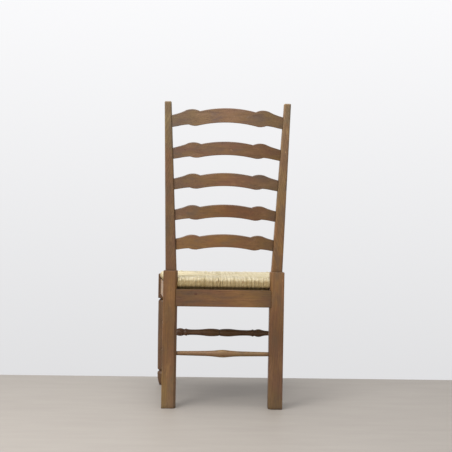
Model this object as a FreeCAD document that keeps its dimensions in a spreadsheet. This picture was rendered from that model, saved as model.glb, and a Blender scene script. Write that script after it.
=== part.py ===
"""A ladder-back dining chair with a woven rush seat, as separate joined pieces. Sizes are in millimetres.

The chair stands on z = 0 with its front towards -Y and its left side, as the sitter has it, towards +X.
The origin is on the floor, at the centre of the chair's bounding box. Depths are measured forwards from
the back face of the rear legs, and turned into y by depth().
"""

import FreeCAD, Part
import Sketcher

import math
import os

OUT = "parts"
doc = FreeCAD.newDocument("ladder_back_chair")
sheet = doc.addObject("Spreadsheet::Sheet", "Dims")

# ---------------------------------------------------------------- driving dimensions

DIMENSIONS = [
    ("back_y", 177.5, "y of the rear legs' back face"),
    ("leg_width", 50, "rear leg, side to side"),
    ("leg_depth", 42, "rear leg, front to back"),
    ("leg_outer", 213, "x of the rear leg's outer face"),
    ("shoulder", 483, "height where the leg steps in to the post"),
    ("bevel_wide", 8, "bevel along the rear leg's inner back corner"),
    ("bevel_deep", 10, "the same, front to back"),
    ("leg_round", 2.6, "radius of the rear leg's outer long edges"),
    ("shoulder_round", 2.2, "radius of its edges at the shoulder"),
    ("post_top", 1062, "height of the posts"),
    ("post_in_low", 167, "post's inner face at the shoulder"),
    ("post_out_low", 206, "post's outer face at the shoulder"),
    ("post_in_high", 191.3, "post's inner face at the top"),
    ("post_out_high", 214.7, "post's outer face at the top"),
    ("post_step", 5.3, "step from the leg's back face to the post"),
    ("post_depth_low", 33, "post, front to back, at the shoulder"),
    ("post_depth_high", 23, "the same at the top"),
    ("post_round", 5, "radius of the post's long edges"),
    ("post_top_round", 3.5, "radius of the edge round its top"),
    ("recline", 10.5, "lean of the back, in degrees"),
    ("front_size", 45, "front leg's square"),
    ("front_x", 226, "x of the front leg's centre line"),
    ("front_depth", 450, "depth of the front leg's centre line"),
    ("front_top", 447, "height of the front legs"),
    ("block_low", 349.5, "underside of the front leg's square block"),
    ("block_round", 1.8, "radius of the block's upright edges"),
    ("block_top_round", 1.6, "radius of the edge round its top"),
    ("rear_apron_low", 358, "underside of the rear apron"),
    ("apron_low", 368, "underside of the side and front aprons"),
    ("apron_tall", 60, "apron height"),
    ("apron_thick", 20, "apron thickness"),
    ("apron_inset", 9.5, "legs' outer faces to the side and front aprons"),
    ("apron_back_inset", 3.5, "rear leg's back face to the rear apron"),
    ("apron_round", 1.5, "radius of the aprons' long edges"),
    ("tenon_thick", 10, "apron tenon thickness"),
    ("tenon_long", 18, "tenon length"),
    ("tenon_shoulder", 5, "apron edge to its tenon"),
    ("rail_low", 433, "underside of the seat rails"),
    ("rail_tall", 11, "seat rail height"),
    ("rail_thick", 18, "seat rail thickness"),
    ("rail_tenon", 14, "length of a seat rail's end in its leg"),
    ("rail_back", 22, "depth of the rear seat rail's centre line"),
    ("rail_front", 453, "depth of the front seat rail's centre line"),
    ("rush_low", 430, "underside of the rush"),
    ("rush_tall", 29, "thickness of the rush at its edge"),
    ("rush_wrap", 6, "thickness of rush around a rail"),
    ("rush_inset", 6, "legs' outer faces to the rush at the sides"),
    ("rush_round", 14, "radius of the rush's long edges"),
    ("rush_gap", 0.3, "rush to the legs"),
    ("slat_thick", 12, "slat thickness"),
    ("slat_bow", 25, "how far a slat's middle bows back"),
    ("slat_tenon", 12, "length of a slat's end in its post"),
    ("slat_round", 3, "radius of the corners in a slat's outline"),
    ("front_stretcher_z", 212.5, "height of the front stretcher"),
    ("front_stretcher_end", 9, "radius of its ends"),
    ("rear_stretcher_z", 191.5, "height of the rear stretcher"),
    ("rear_stretcher_end", 7.3, "radius of its ends"),
    ("side_upper_z", 255, "height of the upper side stretchers"),
    ("side_lower_z", 145, "height of the lower side stretchers"),
    ("side_stretcher_end", 7.5, "radius of their ends"),
    ("round_tenon", 15, "length of a stretcher's end in its leg"),
    ("fit", 0.15, "play around a tenon, on each side"),
]


class Size:
    """A length with the spreadsheet formula that gives it, so that one sum serves both."""

    def __init__(self, value, formula):
        self.value = float(value)
        self.formula = formula

    def _join(self, other, sign, result):
        right = other.formula if isinstance(other, Size) else repr(float(other))
        return Size(result, f"({self.formula} {sign} {right})")

    def __add__(self, other):
        return self._join(other, "+", self.value + number(other))

    def __sub__(self, other):
        return self._join(other, "-", self.value - number(other))

    def __mul__(self, other):
        return self._join(other, "*", self.value * number(other))

    def __truediv__(self, other):
        return self._join(other, "/", self.value / number(other))

    def __neg__(self):
        return self * -1


def number(x):
    return x.value if isinstance(x, Size) else float(x)


class Dims:
    """The spreadsheet's cells, by alias."""


for row, (alias, value, meaning) in enumerate(DIMENSIONS, start=1):
    sheet.set(f"A{row}", meaning)
    sheet.set(f"B{row}", str(value))
    sheet.setAlias(f"B{row}", alias)
doc.recompute()
for alias, _, _ in DIMENSIONS:
    setattr(Dims, alias, Size(getattr(sheet, alias), f"Dims.{alias}"))


def bind(obj, prop, size):
    """Ties a property to the sheet, or sets it where the size is a plain number."""
    if isinstance(size, Size):
        obj.setExpression(prop, size.formula)
    else:
        setattr(obj, prop, float(size))


def depth(d):
    """The y of a point that lies d in front of the rear legs' back face."""
    return Dims.back_y - d


# ---------------------------------------------------------------- sketches and features


def new_body(name):
    body = doc.addObject("PartDesign::Body", name)
    body.Label = name
    return body


def new_sketch(body, plane, offset=0):
    """A sketch on one of the body's origin planes, offset along its normal."""
    sketch = body.newObject("Sketcher::SketchObject", f"{body.Name}_sketch")
    origin = next(f for f in body.Origin.OriginFeatures if f.Role == plane)
    sketch.AttachmentSupport = [(origin, "")]
    sketch.MapMode = "FlatFace"
    sketch.AttachmentOffset.Base.z = number(offset)
    if isinstance(offset, Size):
        sketch.setExpression("AttachmentOffset.Base.z", offset.formula)
    return sketch


def place(sketch, geometry, point_index, point):
    """Fixes one point of a sketch by its two coordinates."""
    for kind, size in zip(("DistanceX", "DistanceY"), point):
        index = sketch.addConstraint(
            Sketcher.Constraint(kind, -1, 1, geometry, point_index, number(size))
        )
        if isinstance(size, Size):
            sketch.setExpression(f"Constraints[{index}]", size.formula)


def end_at(sketch, edge, point):
    """Which end of a sketch's edge, 1 or 2, lies at a point. An arc's ends don't keep the drawn order."""
    return min((1, 2), key=lambda end: sketch.getPoint(edge, end).distanceToPoint(point))


def outline(sketch, points):
    """Draws a closed outline. A point is (x, y), or (x, y, (mx, my)) for an arc to it through (mx, my)."""
    corners = [FreeCAD.Vector(number(p[0]), number(p[1]), 0) for p in points]
    first = sketch.GeometryCount
    middles = {}
    for i, point in enumerate(points):
        if len(point) == 2:
            sketch.addGeometry(Part.LineSegment(corners[i - 1], corners[i]))
        else:
            middles[i] = FreeCAD.Vector(number(point[2][0]), number(point[2][1]), 0)
            sketch.addGeometry(Part.Arc(corners[i - 1], middles[i], corners[i]))
    for i, corner in enumerate(corners):
        edge, follower = first + i, first + (i + 1) % len(points)
        end, start = end_at(sketch, edge, corner), end_at(sketch, follower, corner)
        sketch.addConstraint(Sketcher.Constraint("Coincident", edge, end, follower, start))
        place(sketch, edge, end, points[i][:2])
    for i, middle in middles.items():
        mark = sketch.addGeometry(Part.Point(middle), True)
        place(sketch, mark, 1, points[i][2])
        sketch.addConstraint(Sketcher.Constraint("PointOnObject", mark, 1, first + i))


def box_outline(sketch, x_low, y_low, x_high, y_high):
    outline(sketch, [(x_low, y_low), (x_high, y_low), (x_high, y_high), (x_low, y_high)])


def pad(body, sketch, length, midplane=False):
    feature = body.newObject("PartDesign::Pad", f"{body.Name}_pad")
    feature.Profile = sketch
    bind(feature, "Length", length)
    feature.Midplane = midplane
    doc.recompute()
    return feature


def cut_through(body, sketch):
    """Removes the sketch's area from the body, all the way through, both ways."""
    before = body.Shape.Volume
    feature = body.newObject("PartDesign::Pocket", f"{body.Name}_pocket")
    feature.Profile = sketch
    feature.Type = "ThroughAll"
    feature.Midplane = True
    doc.recompute()
    if not 0 < body.Shape.Volume < before:
        raise RuntimeError(f"{feature.Name} removed nothing")
    return feature


def round_edges(body, radius, wanted):
    """Rounds the edges of the body's tip that wanted(edge) picks."""
    base = body.Tip
    names = [f"Edge{i}" for i, e in enumerate(base.Shape.Edges, 1) if wanted(e)]
    if not names:
        raise RuntimeError(f"{body.Name}: no edge to round")
    feature = body.newObject("PartDesign::Fillet", f"{body.Name}_round")
    feature.Base = (base, names)
    bind(feature, "Radius", radius)
    doc.recompute()
    return feature


# ---------------------------------------------------------------- backs and slats

RECLINE_SLOPE = math.tan(math.radians(number(Dims.recline)))
POST_RISE = Dims.post_top - Dims.shoulder
POST_BACK_TOP = Dims.post_step - POST_RISE * RECLINE_SLOPE


def share_up(z):
    """How far up the post a height lies, from 0 at the shoulder to 1 at the top."""
    return (z - number(Dims.shoulder)) / number(POST_RISE)


def post_middle(z):
    """Depth of the middle of the post's thickness at height z."""
    low, high = number(Dims.post_depth_low), number(Dims.post_depth_high)
    thick = low + (high - low) * share_up(z)
    back = number(Dims.post_step) - (z - number(Dims.shoulder)) * RECLINE_SLOPE
    return back + thick / 2


def post_inner(z):
    low, high = number(Dims.post_in_low), number(Dims.post_in_high)
    return low + (high - low) * share_up(z)


def rounded_box(sketch, x_low, y_low, x_high, y_high, radius):
    """A rectangle with four rounded corners."""
    r = radius
    near = r * (1 - math.sqrt(0.5))
    outline(
        sketch,
        [
            (x_low, y_low + r),
            (x_low + r, y_low, (x_low + near, y_low + near)),
            (x_high - r, y_low),
            (x_high, y_low + r, (x_high - near, y_low + near)),
            (x_high, y_high - r),
            (x_high - r, y_high, (x_high - near, y_high - near)),
            (x_low + r, y_high),
            (x_low, y_high - r, (x_low + near, y_high - near)),
        ],
    )


def rear_leg_blank():
    """The left rear leg before its mortises: one piece of wood from the floor to the top of the back."""
    body = new_body("rear_leg_blank")
    inner = Dims.leg_outer - Dims.leg_width
    block = new_sketch(body, "XY_Plane")
    box_outline(block, inner, depth(Dims.leg_depth), Dims.leg_outer, depth(0))
    pad(body, block, Dims.shoulder)
    bevel = new_sketch(body, "XY_Plane")
    outline(
        bevel,
        [
            (inner - 1, depth(-1)),
            (inner + Dims.bevel_wide, depth(-1)),
            (inner + Dims.bevel_wide, depth(0)),
            (inner, depth(Dims.bevel_deep)),
            (inner - 1, depth(Dims.bevel_deep)),
        ],
    )
    cut_through(body, bevel)
    shoulder, outer = number(Dims.shoulder), number(Dims.leg_outer)
    round_edges(body, Dims.leg_round, lambda e: e.BoundBox.ZLength > 400 and e.BoundBox.XMin > outer - 0.1)
    round_edges(body, Dims.shoulder_round, lambda e: e.BoundBox.ZMin > shoulder - 0.1)
    post = new_sketch(body, "XY_Plane", Dims.shoulder)
    rounded_box(
        post,
        Dims.post_in_low,
        depth(Dims.post_step + Dims.post_depth_low),
        Dims.post_out_low,
        depth(Dims.post_step),
        Dims.post_round,
    )
    top = new_sketch(body, "XY_Plane", Dims.post_top)
    rounded_box(
        top,
        Dims.post_in_high,
        depth(POST_BACK_TOP + Dims.post_depth_high),
        Dims.post_out_high,
        depth(POST_BACK_TOP),
        Dims.post_round,
    )
    loft = body.newObject("PartDesign::AdditiveLoft", "rear_post")
    loft.Profile = post
    loft.Sections = [(top, [""])]
    loft.Ruled = True
    doc.recompute()
    post_top = number(Dims.post_top)
    round_edges(body, Dims.post_top_round, lambda e: e.BoundBox.ZMin > post_top - 0.5)
    return body


# Each slat's lower edge and height at its middle, and how much its outline is stretched along and down.
SLATS = [
    ("back_slat_1", 997.4, 48, 1.06, 1.16),
    ("back_slat_2", 889.4, 45, 1, 1),
    ("back_slat_3", 784.5, 44.5, 1, 1),
    ("back_slat_4", 678, 43, 1, 1),
    ("back_slat_5", 574, 44.3, 1, 1),
]
# Half of a slat's outline: how far each point lies from the middle, and above the edge's height there.
TOP_DIP, TOP_HUMP, TOP_FALL, TOP_TAIL, TOP_END = (89, -10.2), (113, -5), (133, -8.5), (147, -14.6), (160, -19)
LOW_BULGE, LOW_BELLY, LOW_NOTCH = (97, -11.4), (110, -11.7), (125, -8.5)
LOW_TAIL, LOW_END = (144, -10.9), (160, -14.3)
TOP_END_SLOPE, LOW_END_SLOPE = -0.3, -0.2
# How far the sloping outline runs on into the post before the slat's end goes straight.
ENTRY = 1.2


class SlatEnd:
    """Where a slat meets its posts, in the slat's own frame: x along it, z up the slope of the back."""

    def __init__(self, low, tall, stretch, sweep):
        self.middle = low + tall / 2
        self.face = post_inner(self.middle)
        self.tip = self.face + number(Dims.slat_tenon)
        self.buried = self.face + ENTRY
        run = self.buried - TOP_END[0] * stretch
        self.top = tall / 2 + TOP_END[1] * sweep + TOP_END_SLOPE * run
        self.under = -tall / 2 + LOW_END[1] * sweep + LOW_END_SLOPE * run
        self.turn = 2 * math.degrees(math.atan(number(Dims.slat_bow) / self.tip))
        self.frame = FreeCAD.Placement(
            FreeCAD.Vector(0, number(depth(post_middle(self.middle))), self.middle),
            FreeCAD.Rotation(FreeCAD.Vector(1, 0, 0), -number(Dims.recline)),
        )


def slat(name, low, tall, stretch, sweep):
    """A shaped slat, bowed back in the middle, with ends that enter the posts."""
    end = SlatEnd(low, tall, stretch, sweep)
    tip, buried = end.tip, end.buried
    body = new_body(name)
    plan = new_sketch(body, "XY_Plane")
    bow, thick = Dims.slat_bow, Dims.slat_thick
    outline(
        plan,
        [
            (-tip, thick / -2),
            (tip, thick / -2, (0, bow - thick / 2)),
            (tip, thick / 2),
            (-tip, thick / 2, (0, bow + thick / 2)),
        ],
    )
    pad(body, plan, 2 * tall + 60, midplane=True)
    top, under = tall / 2, -tall / 2

    def half(side):
        """The outline's points on one side, from the top middle round to the bottom middle."""

        def at(point, base):
            return (point[0] * stretch * side, base + point[1] * sweep)

        return [
            (0, top),
            at(TOP_DIP, top),
            (*at(TOP_FALL, top), at(TOP_HUMP, top)),
            (*at(TOP_END, top), at(TOP_TAIL, top)),
            (buried * side, end.top),
            ((tip + 1) * side, end.top),
            ((tip + 1) * side, end.under),
            (buried * side, end.under),
            at(LOW_END, under),
            (*at(LOW_NOTCH, under), at(LOW_TAIL, under)),
            (*at(LOW_BULGE, under), at(LOW_BELLY, under)),
            (0, under),
        ]

    right, left = half(1), reversed_outline(half(-1))
    waste = new_sketch(body, "XZ_Plane")
    top_arch, low_arch = (*right[1], right[0]), (*left[1], left[0])
    outline(waste, [top_arch, *right[2:-1], low_arch, *left[2:-1]])
    box_outline(waste, -tip - 20, -tall - 60, tip + 20, tall + 60)
    cut_through(body, waste)
    thickness = number(Dims.slat_thick)
    round_edges(body, Dims.slat_round, lambda e: e.BoundBox.YLength > thickness * 0.75
                and e.BoundBox.XLength < thickness / 2 and abs(e.BoundBox.Center.x) < end.face - 5)
    body.Placement = end.frame
    return body


def reversed_outline(points):
    """The same outline run the other way: each arc's middle moves to the point that now ends it."""
    middles = [p[2] if len(p) == 3 else None for p in points]
    turned_round = [points[-1][:2]]
    for i in range(len(points) - 2, -1, -1):
        corner, middle = points[i][:2], middles[i + 1]
        turned_round.append((*corner, middle) if middle else corner)
    return turned_round


def slat_mortise(name, low, tall, stretch, sweep):
    """The slot in the left post for a slat's end."""
    end = SlatEnd(low, tall, stretch, sweep)
    reach = Dims.slat_tenon + 6
    slot = doc.addObject("Part::Box", f"mortise_{name}")
    turn = math.cos(math.radians(end.turn))
    bind(slot, "Length", reach)
    bind(slot, "Width", Dims.slat_thick * turn + Dims.fit * 2)
    bind(slot, "Height", Dims.fit * 2 + (end.top - end.under))
    local = FreeCAD.Placement(
        FreeCAD.Vector(end.tip, 0, end.under - number(Dims.fit)),
        FreeCAD.Rotation(FreeCAD.Vector(0, 0, 1), -end.turn),
    )
    corner = FreeCAD.Vector(0.3 - number(reach), slot.Width.Value / -2, 0)
    slot.Placement = end.frame * local * FreeCAD.Placement(corner, FreeCAD.Rotation())
    return slot


# ---------------------------------------------------------------- aprons and seat rails

SIDE_REAR = Dims.leg_depth
SIDE_FRONT = Dims.front_depth - Dims.front_size / 2
FRONT_OUTER = Dims.front_x + Dims.front_size / 2
FRONT_INNER = Dims.front_x - Dims.front_size / 2
REAR_INNER = Dims.leg_outer - Dims.leg_width


def side_line(inset, d):
    """x of the line inset from the legs' outer faces on the left, at depth d from rear leg to front leg."""
    spread = (FRONT_OUTER - Dims.leg_outer) / (number(SIDE_FRONT) - number(SIDE_REAR))
    return Dims.leg_outer - inset + spread * (number(d) - number(SIDE_REAR))


def side_strip(sketch, inset, thick, d_rear, d_front, side=1):
    """Outline, seen from above, of a bar of the given thickness along the side of the seat."""
    corners = [
        (side_line(inset, d_rear), depth(d_rear)),
        (side_line(inset, d_front), depth(d_front)),
        (side_line(inset + thick, d_front), depth(d_front)),
        (side_line(inset + thick, d_rear), depth(d_rear)),
    ]
    outline(sketch, [(x * side, y) for x, y in corners])


def bar(body, low, tall, shape):
    """Adds a pad from height low, whose outline shape(sketch) draws."""
    sketch = new_sketch(body, "XY_Plane", low)
    shape(sketch)
    return pad(body, sketch, tall)


APRON_TENON_TALL = Dims.apron_tall - Dims.tenon_shoulder * 2


def cross_apron(name, inner, centre, low, over_bevel=False):
    """An apron between two legs whose inner faces are at x = +-inner, at depth centre.

    With over_bevel its ends also reach over the bevels of the rear legs.
    """
    body = new_body(name)
    tenon = Dims.tenon_thick
    back, front = centre - Dims.apron_thick / 2, centre + Dims.apron_thick / 2
    left = [(inner, depth(back)), (inner, depth(front))]
    if over_bevel:
        reach = Dims.bevel_wide - Dims.bevel_wide * back / Dims.bevel_deep
        left = [(inner + reach, depth(back)), (inner, depth(Dims.bevel_deep)), left[1]]
    right = [(-x, y) for x, y in reversed(left)]
    bar(body, low, Dims.apron_tall, lambda sketch: outline(sketch, left + right))
    round_edges(body, Dims.apron_round, lambda e: e.BoundBox.XLength > 300)
    long = inner + Dims.tenon_long
    bar(body, low + Dims.tenon_shoulder, APRON_TENON_TALL, lambda sketch: box_outline(
        sketch, -long, depth(centre + tenon / 2), long, depth(centre - tenon / 2)))
    return body


def side_apron():
    """The left side apron."""
    body = new_body("side_apron_left")
    bar(body, Dims.apron_low, Dims.apron_tall, lambda sketch: side_strip(
        sketch, Dims.apron_inset, Dims.apron_thick, SIDE_REAR, SIDE_FRONT))
    round_edges(body, Dims.apron_round, lambda e: e.BoundBox.YLength > 250)
    inset = Dims.apron_inset + (Dims.apron_thick - Dims.tenon_thick) / 2
    bar(body, Dims.apron_low + Dims.tenon_shoulder, APRON_TENON_TALL, lambda sketch: side_strip(
        sketch, inset, Dims.tenon_thick, SIDE_REAR - Dims.tenon_long, SIDE_FRONT + Dims.tenon_long))
    return body


def cross_rail(name, inner, centre, play=0):
    """A seat rail across the chair, or with play the space for it."""
    body = new_body(name)
    half = Dims.rail_thick / 2 + play
    long = inner + Dims.rail_tenon + play
    bar(body, Dims.rail_low - play, Dims.rail_tall + play + play, lambda sketch: box_outline(
        sketch, -long, depth(centre + half), long, depth(centre - half)))
    return body


def side_rail(name, play=0):
    """The left seat rail, or with play the space for it."""
    body = new_body(name)
    inset = Dims.rush_inset + Dims.rush_wrap - play
    bar(body, Dims.rail_low - play, Dims.rail_tall + play + play, lambda sketch: side_strip(
        sketch, inset, Dims.rail_thick + play + play,
        SIDE_REAR - Dims.rail_tenon - play, SIDE_FRONT + Dims.rail_tenon + play))
    return body


# ---------------------------------------------------------------- front legs


def front_leg_blank():
    """A front leg before its mortises, about its own centre line: a square block over a turned column."""
    body = new_body("front_leg_blank")
    half = Dims.front_size / 2
    block = new_sketch(body, "XY_Plane", Dims.block_low)
    box_outline(block, -half, -half, half, half)
    pad(body, block, Dims.front_top - Dims.block_low)
    round_edges(body, Dims.block_round, lambda e: e.BoundBox.ZLength > 50)
    front_top = number(Dims.front_top)
    round_edges(body, Dims.block_top_round, lambda e: e.BoundBox.ZMin > front_top - 0.1)
    low = number(Dims.block_low)
    groove_sketch = new_sketch(body, "XZ_Plane")
    outline(groove_sketch, [
        (Dims.front_size, low - 1),
        (Dims.front_size, low + 15),
        (32.5, low + 12),
        (20.5, low - 1, (27.5, low + 3)),
    ])
    before = body.Shape.Volume
    groove = body.newObject("PartDesign::Groove", "block_turned_in")
    groove.Profile = groove_sketch
    groove.ReferenceAxis = (groove_sketch, ["V_Axis"])
    groove.Angle = 360
    doc.recompute()
    if not body.Shape.Volume < before:
        raise RuntimeError("the groove removed nothing")
    column = new_sketch(body, "XZ_Plane")
    outline(column, [
        (0, 0),
        (11.5, 0),
        (13.6, 2.2, (13, 0.7)),
        (20.6, 41, (18.9, 22)),
        (13, 58.5, (19.4, 52.5)),
        (20.8, 72, (18.8, 62.5)),
        (22, low - 18, (21.9, 200)),
        (13.5, low - 3.5, (19.8, low - 8.5)),
        (20.5, low + 0.5, (16, low - 1)),
        (20.5, low + 4),
        (0, low + 4),
    ])
    turning = body.newObject("PartDesign::Revolution", "turned_column")
    turning.Profile = column
    turning.ReferenceAxis = (column, ["V_Axis"])
    turning.Angle = 360
    doc.recompute()
    body.Placement.Base = FreeCAD.Vector(number(Dims.front_x), number(depth(Dims.front_depth)), 0)
    body.setExpression("Placement.Base.x", Dims.front_x.formula)
    body.setExpression("Placement.Base.y", depth(Dims.front_depth).formula)
    return body


# ---------------------------------------------------------------- stretchers


def turned(name, half_profile):
    """A piece turned about X, the same at both ends. half_profile runs from the middle to one end."""
    end = half_profile[-1]
    right = [half_profile[0][:2], *half_profile[1:]]
    left = [(-p[0], p[1], (-p[2][0], p[2][1])) if len(p) == 3 else (-p[0], p[1]) for p in right[1:]]
    body = new_body(name)
    sketch = new_sketch(body, "XY_Plane")
    outline(sketch, [(-end[0], 0), (end[0], 0), *reversed_outline(right), *left])
    feature = body.newObject("PartDesign::Revolution", f"{name}_turning")
    feature.Profile = sketch
    feature.ReferenceAxis = (sketch, ["H_Axis"])
    feature.Angle = 360
    doc.recompute()
    return body


def front_stretcher():
    """Vase and ring turnings either side of a small groove."""
    end = FRONT_INNER + Dims.round_tenon
    return turned("front_stretcher", [
        (0, 11.2),
        (4, 13.4, (1.6, 12.6)),
        (62, 13.3, (31, 15.5)),
        (106, 11.1, (84, 11.6)),
        (129, 12.3, (118, 11.3)),
        (131, 13.4),
        (137, 13.4, (134, 14.4)),
        (139, 12.9),
        (145, 12.9, (142, 12.2)),
        (168, 14.0, (157, 15.6)),
        (Dims.front_x - 33.5, 9.6, (178, 11.2)),
        (FRONT_INNER - 3, Dims.front_stretcher_end),
        (end, Dims.front_stretcher_end),
    ])


def lozenge_stretcher(name, face, tenon, end_radius, bulge):
    """A slim turned stretcher with a swelling in the middle; face is half its length between the legs."""
    return turned(name, [
        (0, bulge),
        (10, bulge - 0.4, (5, bulge - 0.1)),
        (60, end_radius + 1.8, (34, end_radius + 3.2)),
        (face - 12, end_radius + 0.3, (110, end_radius + 0.9)),
        (face - 2, end_radius),
        (face + tenon, end_radius),
    ])


REAR_MIDDLE = number(Dims.leg_outer - Dims.leg_width / 2)
SIDE_SPREAD = number(Dims.front_x) - REAR_MIDDLE
SIDE_RUN = math.hypot(number(Dims.front_depth - Dims.leg_depth), SIDE_SPREAD)
SIDE_TURN = math.degrees(math.asin(SIDE_SPREAD / SIDE_RUN))
SIDE_LENGTH = SIDE_RUN - number(Dims.front_size) / 2
SIDE_TENON = number(Dims.round_tenon)


def along_side(distance, z):
    """Placement of an X-aligned piece on the line from rear leg to front leg, distance from the rear leg."""
    start = FreeCAD.Vector(REAR_MIDDLE, number(depth(Dims.leg_depth)), number(z))
    spin = FreeCAD.Rotation(FreeCAD.Vector(0, 0, 1), SIDE_TURN - 90)
    return FreeCAD.Placement(start + spin.multVec(FreeCAD.Vector(distance, 0, 0)), spin)


def side_stretcher(name, z):
    body = lozenge_stretcher(name, SIDE_LENGTH / 2, SIDE_TENON, Dims.side_stretcher_end, 12)
    body.Placement = along_side(SIDE_LENGTH / 2, z)
    return body


def hole(name, radius, length, placement):
    """A round hole of the given length along the placement's X axis, with play around its tenon."""
    cutter = doc.addObject("Part::Cylinder", name)
    bind(cutter, "Radius", radius + Dims.fit)
    cutter.Height = length
    cutter.Placement = placement * FreeCAD.Placement(
        FreeCAD.Vector(0, 0, 0), FreeCAD.Rotation(FreeCAD.Vector(0, 1, 0), 90))
    return cutter


def box_hole(name, x_low, x_high, d_low, d_high, z_low, z_high):
    """A square mortise, given by its sides, with play around its tenon."""
    cutter = doc.addObject("Part::Box", name)
    play = Dims.fit
    bind(cutter, "Length", x_high - x_low + play * 2)
    bind(cutter, "Width", d_high - d_low + play * 2)
    bind(cutter, "Height", z_high - z_low + play * 2)
    corner = {"x": x_low - play, "y": depth(d_high + play), "z": z_low - play}
    for axis, size in corner.items():
        cutter.setExpression(f"Placement.Base.{axis}", size.formula)
    return cutter


def cut(name, base, tools):
    """base without the tools, as a sub-part of its own."""
    joined = doc.addObject("Part::MultiFuse", f"{name}_mortises")
    joined.Shapes = tools
    result = doc.addObject("Part::Cut", name)
    result.Label = name
    result.Base = base
    result.Tool = joined
    doc.recompute()
    return result


def mirrored(name, source):
    """The right-hand twin of a left-hand sub-part."""
    result = doc.addObject("Part::Mirroring", name)
    result.Label = name
    result.Source = source
    result.Normal = (1, 0, 0)
    doc.recompute()
    return result


def side_slot(name, inset, thick, d_rear, d_front, low, tall):
    """The space for the end of a bar that runs along the left side, with play around it."""
    body = new_body(name)
    play = Dims.fit
    bar(body, low - play, tall + play * 2, lambda sketch: side_strip(
        sketch, inset - play, thick + play * 2, d_rear - play, d_front + play))
    return body


# ---------------------------------------------------------------- the rush seat


def rush_seat():
    """The outer form of the woven rush, closed round the four rails and fitted between the legs."""
    body = new_body("rush_form")
    gap = Dims.rush_gap
    sketch = new_sketch(body, "XY_Plane", Dims.rush_low)
    back = Dims.rail_back - Dims.rail_thick / 2 - Dims.rush_wrap
    front = Dims.rail_front + Dims.rail_thick / 2 + Dims.rush_wrap
    d_rear, d_front = SIDE_REAR + gap, SIDE_FRONT - gap
    left = [
        (REAR_INNER - gap, depth(back)),
        (REAR_INNER - gap, depth(d_rear)),
        (side_line(Dims.rush_inset, d_rear), depth(d_rear)),
        (side_line(Dims.rush_inset, d_front), depth(d_front)),
        (FRONT_INNER - gap, depth(d_front)),
        (FRONT_INNER - gap, depth(front)),
    ]
    outline(sketch, left + [(-x, y) for x, y in reversed(left)])
    pad(body, sketch, Dims.rush_tall)
    round_edges(body, Dims.rush_round, lambda e: e.Length > 280 and e.BoundBox.ZLength < 1)
    tools = [
        cross_rail("space_rear_rail", REAR_INNER, Dims.rail_back, Dims.fit),
        cross_rail("space_front_rail", FRONT_INNER, Dims.rail_front, Dims.fit),
    ]
    side = side_rail("space_left_rail", Dims.fit)
    return cut("rush_seat", body, [*tools, side, mirrored("space_right_rail", side)])


# ---------------------------------------------------------------- assembly


def legs():
    apron_back = Dims.apron_back_inset + Dims.apron_thick / 2
    apron_front = Dims.front_depth + Dims.front_size / 2 - Dims.apron_inset - Dims.apron_thick / 2
    half_tenon = Dims.tenon_thick / 2
    tall = APRON_TENON_TALL
    rear_low, low = Dims.rear_apron_low + Dims.tenon_shoulder, Dims.apron_low + Dims.tenon_shoulder
    half_rail = Dims.rail_thick / 2
    tenon_inset = Dims.apron_inset + (Dims.apron_thick - Dims.tenon_thick) / 2
    rail_inset = Dims.rush_inset + Dims.rush_wrap
    apron_long, rail_long = Dims.tenon_long, Dims.rail_tenon
    rear = [slat_mortise(*row) for row in SLATS]
    rear += [
        box_hole("mortise_rear_apron", REAR_INNER - 1, REAR_INNER + apron_long,
                 apron_back - half_tenon, apron_back + half_tenon, rear_low, rear_low + tall),
        box_hole("mortise_rear_rail", REAR_INNER - 1, REAR_INNER + rail_long,
                 Dims.rail_back - half_rail, Dims.rail_back + half_rail,
                 Dims.rail_low, Dims.rail_low + Dims.rail_tall),
        side_slot("slot_side_apron_rear", tenon_inset, Dims.tenon_thick,
                  SIDE_REAR - apron_long, SIDE_REAR + 1, low, tall),
        side_slot("slot_side_rail_rear", rail_inset, Dims.rail_thick,
                  SIDE_REAR - rail_long, SIDE_REAR + 1, Dims.rail_low, Dims.rail_tall),
        hole("hole_rear_stretcher", Dims.rear_stretcher_end, 18, FreeCAD.Placement(
            FreeCAD.Vector(number(REAR_INNER) - 2, number(depth(Dims.leg_depth / 2)),
                           number(Dims.rear_stretcher_z)), FreeCAD.Rotation())),
    ]
    front = [
        box_hole("mortise_front_apron", FRONT_INNER - 1, FRONT_INNER + apron_long,
                 apron_front - half_tenon, apron_front + half_tenon, low, low + tall),
        box_hole("mortise_front_rail", FRONT_INNER - 1, FRONT_INNER + rail_long,
                 Dims.rail_front - half_rail, Dims.rail_front + half_rail,
                 Dims.rail_low, Dims.rail_low + Dims.rail_tall),
        side_slot("slot_side_apron_front", tenon_inset, Dims.tenon_thick,
                  SIDE_FRONT - 1, SIDE_FRONT + apron_long, low, tall),
        side_slot("slot_side_rail_front", rail_inset, Dims.rail_thick,
                  SIDE_FRONT - 1, SIDE_FRONT + rail_long, Dims.rail_low, Dims.rail_tall),
        hole("hole_front_stretcher", Dims.front_stretcher_end, 18, FreeCAD.Placement(
            FreeCAD.Vector(number(FRONT_INNER) - 2, number(depth(Dims.front_depth)),
                           number(Dims.front_stretcher_z)), FreeCAD.Rotation())),
    ]
    for place_name, z in (("upper", Dims.side_upper_z), ("lower", Dims.side_lower_z)):
        rear.append(hole(f"hole_{place_name}_rear", Dims.side_stretcher_end, 18,
                         along_side(-SIDE_TENON - 1, z)))
        front.append(hole(f"hole_{place_name}_front", Dims.side_stretcher_end, 21,
                          along_side(SIDE_LENGTH - 5, z)))
    return cut("rear_leg_left", rear_leg_blank(), rear), cut("front_leg_left", front_leg_blank(), front)


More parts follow.
